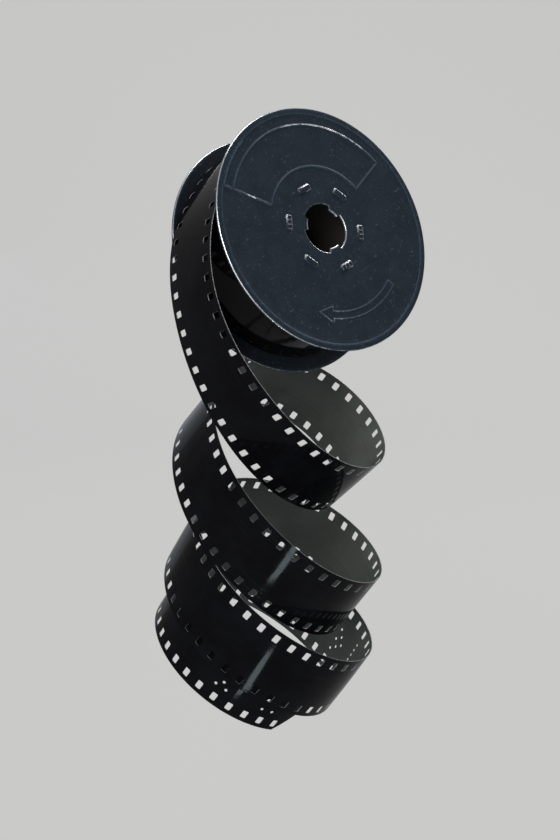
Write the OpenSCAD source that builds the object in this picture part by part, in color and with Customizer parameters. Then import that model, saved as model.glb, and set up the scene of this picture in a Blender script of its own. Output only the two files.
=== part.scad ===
// A small metal spool of perforated cine film, held in the air by its drive hole.
// The wound film fills the spool, and its outer end has sprung off as a drooping coil of loose loops.
// Millimetres, +Z up. The origin is the middle of the spool's bore.
// The spool's own axis leans: see spool_turn and spool_lift.

/* [Film] */
// Width of the film
film_w = 16; // [15.6:0.1:16.4]
// Thickness of the film
film_t = 0.15; // [0.12:0.01:0.2]
// Distance from one perforation to the next
perf_pitch = 3.81; // [3.7:0.01:3.95]
// Size of a perforation along the film
perf_l = 1.27; // [1.1:0.01:1.4]
// Size of a perforation across the film
perf_w = 1.83; // [1.6:0.01:2]
// Distance from the film's edge to the near side of a perforation
perf_edge = 0.91; // [0.8:0.01:1.2]
// Length of the loose film, which is cut to whole perforations
loose_l = 499; // [150:1:500]
// How far the slanting cut at the film's tail reaches across the film
tail_cut_w = 6.3; // [5:0.1:7]

/* [Spool] */
// Diameter of each flange
flange_d = 51; // [49:0.5:54]
// Thickness of a flange's sheet
flange_t = 0.5; // [0.4:0.05:0.7]
// Room between the flanges beyond the film's width
side_clear = 0.5; // [0.4:0.05:1]
// Width of the band at the rim that stands proud
rim_w = 1.4; // [1:0.1:2]
// Height of the band at the rim
rim_h = 0.15; // [0.1:0.05:0.3]
// Outside diameter of the hub
hub_d = 18; // [17:0.1:20]
// Thickness of the hub's rolled sheet
hub_wall = 0.5; // [0.4:0.05:0.7]
// Diameter of the drive hole in each flange
bore_d = 10.2; // [9.8:0.1:11]
// Width of a drive key
key_w = 2.5; // [2:0.1:3]
// Distance that a drive key stands into the hole
key_h = 0.95; // [0.7:0.05:1.2]
// Number of keys in the front flange's hole
front_keys = 3; // [3:1:4]
// Number of keys in the rear flange's hole
rear_keys = 4; // [3:1:4]
// Number of tabs that stake the hub to each flange
tabs = 6; // [4:1:8]
// Width of a tab
tab_w = 3; // [2.4:0.1:3.4]
// How much wider than its tab a flattened head is
head_spread = 0.7; // [0.2:0.1:1]
// Length of a tab's flattened head, along the spool's radius
head_l = 1.8; // [1.2:0.1:2.2]
// Height of a tab's flattened head
head_h = 0.4; // [0.3:0.05:0.5]

/* [Raised marks on the front flange] */
// Width of a raised bead
bead_w = 0.6; // [0.4:0.1:0.8]
// Height of a raised bead
bead_h = 0.2; // [0.1:0.05:0.3]
// Inner radius of the bare panel's frame, to the middle of its bead
panel_r_in = 13; // [12:0.1:14]
// Outer radius of the bare panel's frame, to the middle of its bead
panel_r_out = 21.9; // [20:0.1:22.8]
// Angle where the panel starts, anticlockwise from the spool's right
panel_from = 36; // [20:1:60]
// Angle where the panel ends
panel_to = 155; // [120:1:170]
// Radius of the arrow's centre line
arrow_r = 18.2; // [17:0.1:19]
// Width of the arrow's shaft, between the middles of its beads
arrow_w = 1.5; // [1.2:0.1:2]
// Width of the arrow's head
arrow_head_w = 3.4; // [3:0.1:4]
// Length of the arrow's head
arrow_head_l = 3.4; // [3:0.1:4]
// Angle of the arrow's tip
arrow_tip = -112; // [-120:1:-100]
// Angle of the arrow's tail
arrow_tail = -44; // [-60:1:-30]

/* [Winding] */
// Diameter of the tightly wound film
pack_d = 44; // [40:0.5:45]
// How much further out the slack outer turn lies where it ends
slack_rise = 0.35; // [0.2:0.05:0.6]
// Gap kept between pieces that move past each other
run_gap = 0.3; // [0.25:0.05:0.5]
// Angle on the spool where the film leaves the winding
exit_angle = 131; // [125:1:140]

/* [Pose] */
// Turn of the spool's axis to the right of straight ahead
spool_turn = 37; // [0:1:60]
// Lift of the spool's axis above level
spool_lift = 24; // [0:1:45]

/* [Hidden] */
// Each row is a place on the loose film: its distance from the winding,
// the radius that the film curls to there, and its twist in degrees for each 10 mm.
film_curl = [
    [0, 52, -0.5],
    [20, 35, 1],
    [50, 49, -7.5],
    [85, 24, -6],
    [120, 16.5, -4],
    [160, 27, -1.5],
    [200, 29, -4],
    [240, 21.5, -5.5],
    [280, 19.5, -2.5],
    [325, 25.5, -3.5],
    [370, 22.5, -2],
    [420, 21.5, -1.5],
    [500, 20, -0.5],
];

$fn = 96;

flange_r = flange_d / 2;
flange_gap = film_w + side_clear;
hub_r = hub_d / 2;
hub_mid_r = hub_r - hub_wall / 2;
bore_r = bore_d / 2;
pack_r = pack_d / 2;
// Angle of the first tab and of the first key on the front flange
tab_angle = -11;
key_angle = 45;
// Width of a tab's head, the teeth pressed into it, and their depth
head_w = tab_w + head_spread;
head_teeth = 4;
tooth_h = 0.15;
// Angle that a tab spans, and how far it reaches up inside its head
tab_span = tab_w / hub_mid_r * 180 / PI;
tab_rise = (head_h - tooth_h) / 2;
// Steps in an arc of a raised bead
arc_steps = 24;
// Play of a tab in its slot, and of the wound film on the hub
tab_play = 0.05;
hub_play = 0.05;
slot_span = (tab_w + 2 * tab_play) / hub_mid_r * 180 / PI;
// Slit in the hub that takes the film's inner end, how far that end reaches in and how it leans
slit_w = 1.2;
slit_angle = 200;
tongue_l = 3.2;
tongue_lean = 18;
// The slack outer turn: its gap over the tight turns, its first radius, its length in degrees,
// how many degrees it stops short of the loose film, and its number of steps
layer_gap = 0.1;
turn_r = pack_r + layer_gap + film_t / 2;
turn_angle = 348;
turn_end = 1.5;
turn_steps = 48;
// The loose film starts over the end of the slack turn
exit_r = turn_r + slack_rise + film_t + run_gap;
// Perforations along each edge of the loose film, the film between two of them, and its length
loose_perfs = round(loose_l / perf_pitch);
bridge_l = perf_pitch - perf_l;
film_l = loose_perfs * perf_pitch;

module in_spool() rotate([0, 0, spool_turn]) rotate([90 - spool_lift, 0, 0]) children();

// Curl and twist of the loose film

// Eased value of column c of the curl table at distance s, with curvature in place of radius
function eased(u) = (1 - cos(180 * u)) / 2;
function curl_value(row, c) = c == 1 ? 1 / row[1] : row[c];
function curl_row(s, i = 0) = i >= len(film_curl) - 2 || s < film_curl[i + 1][0] ? i : curl_row(s, i + 1);
function curl(s, c) =
    let (
        i = curl_row(s),
        a = film_curl[i],
        b = film_curl[i + 1],
        u = eased(min(1, (s - a[0]) / (b[0] - a[0])))
    )
    curl_value(a, c) * (1 - u) + curl_value(b, c) * u;

// A frame on the film is [place, along, inward, across]
function twisted(f, angle) = [
    f[0],
    f[1],
    f[2] * cos(angle) + f[3] * sin(angle),
    f[3] * cos(angle) - f[2] * sin(angle)
];
function bent(f, k, h) =
    let (a = k * h * 180 / PI)
    [
        f[0] + f[1] * sin(a) / k + f[2] * (1 - cos(a)) / k,
        f[1] * cos(a) + f[2] * sin(a),
        f[2] * cos(a) - f[1] * sin(a),
        f[3]
    ];
// The frame a distance h further on, with half the twist before the bend and half after it
function next_frame(f, s, h) =
    let (
        k = curl(s + h / 2, 1),
        half_twist = curl(s + h / 2, 2) * h / 20
    )
    twisted(bent(twisted(f, half_twist), k, h), half_twist);

exit_out = [cos(exit_angle), sin(exit_angle), 0];
exit_along = [-sin(exit_angle), cos(exit_angle), 0];
exit_frame = [exit_r * exit_out, exit_along, -exit_out, [0, 0, 1]];

// Distances of the cross rows: both ends, and the two ends of each perforation
function row_at(i) =
    i == 0 ? 0
    : i > 2 * loose_perfs ? film_l
    : floor((i - 1) / 2) * perf_pitch + bridge_l / 2 + ((i - 1) % 2) * perf_l;
last_row = 2 * loose_perfs + 1;
film_frames = [
    for (
        i = 0, f = exit_frame;
        i <= last_row;
        f = i < last_row ? next_frame(f, row_at(i), row_at(i + 1) - row_at(i)) : f, i = i + 1
    )
    f
];

// Perforated band

// Distances across the film of its edges and of the perforations' sides
perf_out = film_w / 2 - perf_edge;
perf_in = perf_out - perf_w;
perf_cols = [-film_w / 2, -perf_out, -perf_in, perf_in, perf_out, film_w / 2];
// The slanting cut starts at this row and takes the first two spans beyond it
cut_row = last_row - 3;
function cut_at(i) = -film_w / 2 + tail_cut_w * (row_at(i) - row_at(cut_row)) / (film_l - row_at(cut_row));
function film_col(i, j) = i > cut_row && j == 2 ? cut_at(i) : perf_cols[j];

// What a span of the film is: 0 open, 1 film, 2 the start of the slanting cut
function film_span(i, j) =
    i < 0 || i >= last_row || j < 0 || j > 4 ? 0
    : i > cut_row && j < 2 ? 0
    : i == cut_row && j < 2 ? 2
    : i % 2 == 1 && (j == 1 || j == 3) ? 0
    : 1;

// A point halfway through the film's thickness
function film_mid(i, j) = film_frames[i][0] + film_col(i, j) * film_frames[i][3];
film_points = [
    for (i = [0:last_row], j = [0:5], side = [-1, 1])
    film_mid(i, j) + side * film_t / 2 * film_frames[i][2]
];
function film_index(i, j, k) = (i * 6 + j) * 2 + k;
function two_triangles(a, b, c, d) = [[a, b, c], [a, c, d]];
// Both faces of a span, then its edges towards open spans
function span_faces(i, j) = concat(
    two_triangles(film_index(i, j, 1), film_index(i + 1, j, 1), film_index(i + 1, j + 1, 1), film_index(i, j + 1, 1)),
    two_triangles(film_index(i, j, 0), film_index(i, j + 1, 0), film_index(i + 1, j + 1, 0), film_index(i + 1, j, 0)),
    film_span(i, j - 1) == 0 ? edge_faces([i, j], [i + 1, j]) : [],
    film_span(i, j + 1) == 0 ? edge_faces([i + 1, j + 1], [i, j + 1]) : [],
    film_span(i - 1, j) == 0 ? edge_faces([i, j + 1], [i, j]) : [],
    film_span(i + 1, j) == 0 ? edge_faces([i + 1, j], [i + 1, j + 1]) : []
);
// The edge of the film between two grid points, with the film on the left
function edge_faces(a, b) = two_triangles(
    film_index(a[0], a[1], 0), film_index(b[0], b[1], 0), film_index(b[0], b[1], 1), film_index(a[0], a[1], 1)
);
// The corner that the slanting cut leaves: two triangles on each face, the edge of the perforation
// before it and the cut's first edge
function corner_faces(i) = concat(
    [
        [film_index(i, 0, 1), film_index(i + 1, 2, 1), film_index(i, 1, 1)],
        [film_index(i, 1, 1), film_index(i + 1, 2, 1), film_index(i, 2, 1)],
        [film_index(i, 0, 0), film_index(i, 1, 0), film_index(i + 1, 2, 0)],
        [film_index(i, 1, 0), film_index(i, 2, 0), film_index(i + 1, 2, 0)]
    ],
    edge_faces([i, 2], [i, 1]),
    edge_faces([i, 0], [i + 1, 2])
);
film_faces = concat(
    [for (i = [0:last_row - 1], j = [0:4]) if (film_span(i, j) == 1) each span_faces(i, j)],
    corner_faces(cut_row)
);

// Least gap of the loose film to itself: between points on its edges, a third of a loop or more apart
edge_points = [for (i = [0:last_row], j = [0, 5]) film_mid(i, j)];
third_of_loop = 48;
self_gap = min([
    for (a = [0:len(edge_points) - 1 - third_of_loop], b = [a + third_of_loop:len(edge_points) - 1])
    norm(edge_points[a] - edge_points[b])
]) - film_t;
echo(loose_film_length = film_l, least_gap_to_itself = self_gap);

module free_film() color("dimgray") in_spool() polyhedron(film_points, film_faces);

// Winding

// The slack turn is one band that runs up to the place where the loose film starts
function turn_point(i, side, z) =
    let (
        a = exit_angle - turn_end - turn_angle * (1 - i / turn_steps),
        r = turn_r + slack_rise * i / turn_steps + side * film_t / 2
    )
    [r * cos(a), r * sin(a), z * film_w / 2];
turn_points = [for (i = [0:turn_steps], side = [-1, 1], z = [-1, 1]) turn_point(i, side, z)];
turn_faces = concat(
    [
        for (i = [0:turn_steps - 1], c = [[0, 1], [1, 3], [3, 2], [2, 0]])
        each two_triangles(4 * i + c[0], 4 * i + c[1], 4 * i + 4 + c[1], 4 * i + 4 + c[0])
    ],
    two_triangles(0, 2, 3, 1),
    two_triangles(4 * turn_steps, 4 * turn_steps + 1, 4 * turn_steps + 3, 4 * turn_steps + 2)
);
module outer_turn() color("dimgray") in_spool() polyhedron(turn_points, turn_faces);

module film_pack() color("gray") in_spool() {
    difference() {
        cylinder(r = pack_r, h = film_w, center = true);
        cylinder(r = hub_r + hub_play, h = film_w + 2, center = true);
    }
    // The inner end of the film goes through the hub's slit
    rotate([0, 0, slit_angle])
        translate([hub_r + hub_play + film_t, 0, 0])
            rotate([0, 0, 180 - tongue_lean])
                translate([0, -film_t / 2, -film_w / 2])
                    cube([tongue_l, film_t, film_w]);
}

// Spool

// The hub is a tube whose ends are notched into tabs
module hub() color("silver") in_spool() {
    difference() {
        cylinder(r = hub_r, h = flange_gap + 2 * (flange_t + tab_rise), center = true);
        cylinder(r = hub_r - hub_wall, h = flange_gap + 4, center = true);
        rotate([0, 0, slit_angle])
            translate([hub_mid_r - hub_wall, -slit_w / 2, -film_w / 2 - side_clear / 4])
                cube([hub_wall * 2, slit_w, film_w + side_clear / 2]);
        at_tabs()
            rotate([0, 0, tab_span / 2])
                rotate_extrude(angle = 360 / tabs - tab_span)
                    translate([hub_r - hub_wall - 1, 0])
                        square([hub_wall + 2, flange_t + 1]);
    }
    at_tabs()
        translate([hub_mid_r, 0, flange_t])
            tab_head();
}

// Places its children at each tab, on the inner face of each flange
module at_tabs()
    for (end = [0, 1], i = [0:tabs - 1])
        rotate([180 * end, 0, 0])
            rotate([0, 0, (end == 0 ? tab_angle : -tab_angle) + i * 360 / tabs])
                translate([0, 0, flange_gap / 2])
                    children();

// A tab's head lies across its slot on the flange, pressed flat with a toothed punch
module tab_head()
    translate([head_l / 2, 0, 0])
        rotate([90, 0, -90])
            linear_extrude(height = head_l)
                polygon(concat(
                    [[-head_w / 2, 0], [head_w / 2, 0]],
                    [
                        for (i = [0:2 * head_teeth])
                        [head_w / 2 - head_w * i / (2 * head_teeth), head_h - (i % 2 == 0 ? tooth_h : 0)]
                    ]
                ));

// A flange lies with its inner face on z = 0 and its outer face up
module flange(keys, first_key, first_tab) {
    difference() {
        rotate_extrude()
            polygon([
                [0, 0],
                [flange_r - flange_t * 0.3, 0],
                [flange_r, flange_t * 0.3],
                [flange_r, flange_t + rim_h - 0.1],
                [flange_r - 0.1, flange_t + rim_h],
                [flange_r - rim_w, flange_t + rim_h],
                [flange_r - rim_w - rim_h, flange_t],
                [0, flange_t]
            ]);
        drive_hole(keys, first_key);
        for (i = [0:tabs - 1])
            rotate([0, 0, first_tab + i * 360 / tabs - slot_span / 2])
                rotate_extrude(angle = slot_span)
                    translate([hub_r - hub_wall - tab_play, -1])
                        square([hub_wall + 2 * tab_play, flange_t + 2]);
    }
}

// A round hole less its inward keys, which have tips on one circle
module drive_hole(keys, first_key) {
    translate([0, 0, -1])
        linear_extrude(height = flange_t + 2)
            difference() {
                circle(r = bore_r);
                for (i = [0:keys - 1])
                    rotate(first_key + i * 360 / keys)
                        difference() {
                            translate([0, -key_w / 2])
                                square([bore_r + 1, key_w]);
                            circle(r = bore_r - key_h);
                        }
            }
}

// Raised beads on the front flange, each a ring between two outlines

function polar(r, a) = [r * cos(a), r * sin(a)];
function arc(r, from, to) = [for (i = [0:arc_steps]) polar(r, from + (to - from) * i / arc_steps)];

// Outline of the panel's frame, moved out by d: two arcs joined by straight sides
function panel_side(r, d) = asin(d / r);
function panel_outline(d) =
    let (
        outer = panel_r_out + d,
        inner = panel_r_in - d
    )
    concat(
        arc(outer, panel_from - panel_side(outer, d), panel_to + panel_side(outer, d)),
        arc(inner, panel_to + panel_side(inner, d), panel_from - panel_side(inner, d))
    );

// A point on the arrow: how far behind the tip along the shaft's arc, and how far outside the arc
function arrow_angle(along) = arrow_tip + along / arrow_r * 180 / PI;
function arrow_point(along, out) = polar(arrow_r + out, arrow_angle(along));
// Outline of the arrow, moved out by d
arrow_l = (arrow_tail - arrow_tip) * PI / 180 * arrow_r;
head_slope = atan2(arrow_head_w / 2, arrow_head_l);
function arrow_outline(d) =
    let (
        tip = -d / sin(head_slope),
        back = arrow_head_l + d,
        head_half = (back - tip) * tan(head_slope),
        half = arrow_w / 2 + d
    )
    concat(
        [arrow_point(tip, 0), arrow_point(back, -head_half)],
        arc(arrow_r - half, arrow_angle(back), arrow_angle(arrow_l + d)),
        arc(arrow_r + half, arrow_angle(arrow_l + d), arrow_angle(back)),
        [arrow_point(back, head_half)]
    );

// A bead as high as bead_h, rooted in the flange's sheet
module bead(outer, inner)
    translate([0, 0, -flange_t / 4])
        linear_extrude(height = bead_h + flange_t / 4)
            difference() {
                polygon(outer);
                polygon(inner);
            }

module front_flange() color("slategray") in_spool() translate([0, 0, flange_gap / 2]) {
    flange(front_keys, key_angle, tab_angle);
    translate([0, 0, flange_t]) {
        bead(panel_outline(bead_w / 2), panel_outline(-bead_w / 2));
        bead(arrow_outline(bead_w / 2), arrow_outline(-bead_w / 2));
    }
}

module rear_flange() color("slategray") in_spool() rotate([180, 0, 0]) translate([0, 0, flange_gap / 2])
    flange(rear_keys, -key_angle, -tab_angle);

front_flange();
rear_flange();
hub();
film_pack();
outer_turn();
free_film();
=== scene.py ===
import math
from collections import namedtuple

import bpy
from mathutils import Matrix, Vector


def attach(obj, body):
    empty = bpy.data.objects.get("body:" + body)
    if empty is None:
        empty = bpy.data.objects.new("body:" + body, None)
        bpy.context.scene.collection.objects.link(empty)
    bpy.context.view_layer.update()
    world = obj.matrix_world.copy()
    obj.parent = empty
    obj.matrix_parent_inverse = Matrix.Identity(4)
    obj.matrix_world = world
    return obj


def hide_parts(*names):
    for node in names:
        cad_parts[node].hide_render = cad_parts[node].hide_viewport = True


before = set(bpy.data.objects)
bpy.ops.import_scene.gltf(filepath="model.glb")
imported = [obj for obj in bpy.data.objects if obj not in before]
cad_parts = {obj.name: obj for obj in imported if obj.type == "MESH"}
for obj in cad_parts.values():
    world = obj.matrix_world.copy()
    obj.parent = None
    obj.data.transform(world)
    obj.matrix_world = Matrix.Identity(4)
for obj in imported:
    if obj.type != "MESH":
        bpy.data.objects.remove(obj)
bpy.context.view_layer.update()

# Sizes are in millimetres and angles in degrees, unless a comment says otherwise.
MM = 0.001

# Film
FILM_W = 16.0
FILM_T = 0.15
PERF_PITCH = 3.81
PERF_L = 1.27
PERF_W = 1.83
PERF_EDGE = 0.91
PERF_CORNER = 0.25
PERF_CORNER_STEPS = 3
# Depth of the film's cup across its width, where it starts on the loose film, and the length of its rise
FILM_CUP = 0.12
CUP_FROM = 10
CUP_RISE_L = 25
LOOSE_PERFS = 131
LOOSE_L = LOOSE_PERFS * PERF_PITCH
TAIL_CUT_L = 2 * (PERF_PITCH - PERF_L)
TAIL_CUT_W = 6.3
# Each row is a place on the loose film: its distance from the winding,
# the radius that the film curls to there, and its twist for each 10 mm.
FILM_CURL = [
    (0, 52, -0.5),
    (20, 35, 1),
    (50, 49, -7.5),
    (85, 24, -6),
    (120, 16.5, -4),
    (160, 27, -1.5),
    (200, 29, -4),
    (240, 21.5, -5.5),
    (280, 19.5, -2.5),
    (325, 25.5, -3.5),
    (370, 22.5, -2),
    (420, 21.5, -1.5),
    (500, 20, -0.5),
]

# Winding
PACK_R = 22.0
LAYER_GAP = 0.1
SLACK_RISE = 0.35
RUN_GAP = 0.3
EXIT_ANGLE = 131
TURN_R = PACK_R + LAYER_GAP + FILM_T / 2
TURN_ANGLE = 348
TURN_END = 1.5
EXIT_R = TURN_R + SLACK_RISE + FILM_T + RUN_GAP
# The loose film's start lies over the winding, behind the front flange
LEAD_L = 3 * PERF_PITCH
LEAD_R = 22.75

# Spool
SPOOL_TURN = 37
SPOOL_LIFT = 24
FLANGE_R = 25.5
FLANGE_T = 0.5
FLANGE_GAP = 16.5
RIM_W = 1.4
RIM_H = 0.15
HUB_R = 9.0
HUB_WALL = 0.5
HUB_MID_R = HUB_R - HUB_WALL / 2
BORE_R = 5.1
KEY_W = 2.5
KEY_H = 0.95
KEY_ANGLE = 45
TABS = 6
TAB_ANGLE = -11
HEAD_W = 3.7
HEAD_L = 1.8
HEAD_H = 0.4
HEAD_CORNER = 0.6
HEAD_ROUND = 0.6
HEAD_TEETH = 4
# Angle on the spool of the side where each head's edge is brightest: a painted highlight on its wear
HEAD_HIGHLIGHT_AT = 50
TOOTH_H = 0.15
TOOTH_WEAR = 0.7
# How deep the teeth bit into each head
TOOTH_BITES = (1.0, 0.4, 0.3, 1.0, 0.35, 1.1)
SLIT_W = 1.2
SLIT_ANGLE = 200
# Bend of the sheet of each flange, and the dent round each staked tab
SHEET_WAVE = 0.03
DENT_H = 0.06
DENT_REACH = 0.5

# Raised marks on the front flange
BEAD_W = 0.6
BEAD_H = 0.2
ARROW_BEAD_W = 0.4
ARROW_BEAD_H = 0.13
PANEL_R_IN = 13.0
PANEL_R_OUT = 21.9
PANEL_FROM = 36
PANEL_TO = 155
ARROW_R = 18.2
ARROW_W = 1.5
ARROW_HEAD_W = 3.4
ARROW_HEAD_L = 3.4
ARROW_TIP = -112
ARROW_TAIL = -44

# Camera and stage, in metres
CAMERA_PLACE = (-0.0043, -0.2917, 0.0350)
CAMERA_TILT = 76
CAMERA_LENS = 60.81
CAMERA_SENSOR = 36
FLOOR_Z = -0.20
FLOOR_FRONT = -1.6
FLOOR_BACK = 1.1
FLOOR_HALF_W = 2.2
SWEEP_R = 0.5
SWEEP_TOP = 1.5
# How much of the pale stage shows in reflections
SHOWN_IN_GLOSS = 0.6

SPOOL_AXES = Matrix.Rotation(math.radians(SPOOL_TURN), 3, "Z") @ Matrix.Rotation(
    math.radians(90 - SPOOL_LIFT), 3, "X"
)


def in_spool(x, y, z):
    """A point of the spool's own frame, in the part's frame and in metres."""
    return SPOOL_AXES @ Vector((x, y, z)) * MM


def eased(u):
    return (1 - math.cos(math.pi * min(1, max(0, u)))) / 2


def polar(r, angle):
    a = math.radians(angle)
    return r * math.cos(a), r * math.sin(a)


# The course of the film

FilmFrame = namedtuple("FilmFrame", "place along inward across")


def curl_at(s):
    """Curvature for each millimetre and twist in degrees for each 10 mm."""
    i = 0
    while i < len(FILM_CURL) - 2 and s >= FILM_CURL[i + 1][0]:
        i += 1
    a, b = FILM_CURL[i], FILM_CURL[i + 1]
    u = eased((s - a[0]) / (b[0] - a[0]))
    return (1 - u) / a[1] + u / b[1], (1 - u) * a[2] + u * b[2]


def twisted(f, degrees):
    c, s = math.cos(math.radians(degrees)), math.sin(math.radians(degrees))
    return FilmFrame(f.place, f.along, f.inward * c + f.across * s, f.across * c - f.inward * s)


def bent(f, k, h):
    c, s = math.cos(k * h), math.sin(k * h)
    place = f.place + f.along * (s / k) + f.inward * ((1 - c) / k)
    return FilmFrame(place, f.along * c + f.inward * s, f.inward * c - f.along * s, f.across)


def carried_on(f, start, span, h):
    """The frame a distance h on from f, inside a span that starts at start."""
    k, twist = curl_at(start + span / 2)
    half_twist = twist * h / 20
    return twisted(bent(twisted(f, half_twist), k, h), half_twist)


def on_winding(r, angle):
    x, y = polar(1, angle)
    return FilmFrame(Vector((r * x, r * y, 0)), Vector((-y, x, 0)), Vector((-x, -y, 0)), Vector((0, 0, 1)))


def loose_rows():
    """The distances between which the film's curl is held: its ends and each perforation's."""
    bridge = (PERF_PITCH - PERF_L) / 2
    rows = [0.0]
    for i in range(LOOSE_PERFS):
        rows += [i * PERF_PITCH + bridge, i * PERF_PITCH + bridge + PERF_L]
    return rows + [LOOSE_L]


LOOSE_ROWS = loose_rows()


def loose_frames():
    frames = [on_winding(EXIT_R, EXIT_ANGLE)]
    for a, b in zip(LOOSE_ROWS, LOOSE_ROWS[1:]):
        frames.append(carried_on(frames[-1], a, b - a, b - a))
    return frames


LOOSE_FRAMES = loose_frames()


def loose_frame(s):
    """The loose film's frame at a distance s, or on the winding where s is negative."""
    if s < 0:
        r = EXIT_R - (EXIT_R - LEAD_R) * eased(-s / LEAD_L)
        return on_winding(r, EXIT_ANGLE + math.degrees(s / EXIT_R))
    low, high = 0, len(LOOSE_ROWS) - 2
    while low < high:
        i = (low + high + 1) // 2
        if LOOSE_ROWS[i] <= s + 1e-6:
            low = i
        else:
            high = i - 1
    span = LOOSE_ROWS[low + 1] - LOOSE_ROWS[low]
    return carried_on(LOOSE_FRAMES[low], LOOSE_ROWS[low], span, s - LOOSE_ROWS[low])


def turn_frame(s):
    """The slack turn's frame at a distance s, which is negative and ends near 0."""
    angle = math.degrees(s / (TURN_R + SLACK_RISE / 2))
    r = TURN_R + SLACK_RISE * (1 + (angle + TURN_END) / TURN_ANGLE)
    return on_winding(r, EXIT_ANGLE + angle)


def loose_low_edge(s):
    """Place across the film of its lower edge, which a slanting cut ends."""
    beyond = s - (LOOSE_L - TAIL_CUT_L)
    return -FILM_W / 2 + TAIL_CUT_W * max(0, beyond) / TAIL_CUT_L


def straight_low_edge(s):
    return -FILM_W / 2


# Meshes

BASE_SIDE, EMULSION_SIDE, CUT_SIDE = 0, 1, 2
# Faces that meet at more than this angle have a sharp edge between them
SHARP_ANGLE = 40


class Builder:
    """Collects a mesh's vertices, faces, UVs in millimetres and wear, which also holds painted shade and
    painted highlights.
    """

    def __init__(self):
        self.points = []
        self.faces = []
        self.surfaces = []
        self.uvs = []
        self.wear_and_painted_light = []

    def point(self, place, uv=(0, 0), wear_and_painted_light=0.0):
        self.points.append(place)
        self.uvs.append(uv)
        self.wear_and_painted_light.append(wear_and_painted_light)
        return len(self.points) - 1

    def face(self, corners, surface=0):
        self.faces.append(corners)
        self.surfaces.append(surface)

    def grid(self, rows, surface=0, closed=False):
        """Quads between rows of points; a closed grid joins each row's ends."""
        for a, b in zip(rows, rows[1:]):
            n = len(a)
            for i in range(n if closed else n - 1):
                j = (i + 1) % n
                self.face((a[i], a[j], b[j], b[i]), surface)

    def build(self, name, materials):
        mesh = bpy.data.meshes.new(name)
        mesh.from_pydata(self.points, [], self.faces)
        for material in materials:
            mesh.materials.append(material)
        mesh.polygons.foreach_set("material_index", self.surfaces)
        mesh.polygons.foreach_set("use_smooth", [True] * len(self.faces))
        uv_layer = mesh.uv_layers.new(name="place")
        corner_uvs = [c for face in self.faces for i in face for c in self.uvs[i]]
        uv_layer.data.foreach_set("uv", corner_uvs)
        wear_and_painted_light = mesh.attributes.new("wear_and_painted_light", "FLOAT", "POINT")
        wear_and_painted_light.data.foreach_set("value", self.wear_and_painted_light)
        mesh.update()
        mesh.set_sharp_from_angle(angle=math.radians(SHARP_ANGLE))
        piece = bpy.data.objects.new(name, mesh)
        bpy.context.scene.collection.objects.link(piece)
        return piece


# Film pieces

PERF_OUT = FILM_W / 2 - PERF_EDGE
PERF_IN = PERF_OUT - PERF_W
PERF_START = (PERF_PITCH - PERF_L) / 2
# Places across the film, and along one pitch, of the mesh's lines
HALF_COLS = [PERF_IN / 2, PERF_IN, PERF_IN + PERF_CORNER, PERF_OUT - PERF_CORNER, PERF_OUT, FILM_W / 2]
FILM_COLS = [-v for v in HALF_COLS[::-1]] + [0] + HALF_COLS
FILM_STEPS = [0, PERF_START / 2, PERF_START, PERF_START + PERF_CORNER,
              PERF_START + PERF_L - PERF_CORNER, PERF_START + PERF_L, PERF_PITCH - PERF_START / 2]
# The spans between those lines that a perforation opens, and those of the film's middle
OPEN_SPANS = (1, 2, 3, 8, 9, 10)
OPEN_STEPS = (2, 3, 4)
MIDDLE_SPANS = (4, 5, 6, 7)

# Marks punched in the film: for each pitch, the cells of its middle that have a dot,
# by their number along the pitch and across the film
DOT_R = 0.33
DOT_SIDES = 12
DOT_CELLS_ALONG = 3
DOT_CELLS_ACROSS = 8
DOTS = {
    101: [(1, 2), (1, 3), (1, 4), (1, 5), (1, 6)],
    102: [(2, 3)],
    103: [(0, 2), (0, 4), (1, 1), (1, 3), (1, 5)],
    125: [(0, 1), (0, 3), (1, 2), (2, 1), (2, 3)],
    128: [(0, 1), (0, 3), (2, 1), (2, 3)],
}


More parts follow.
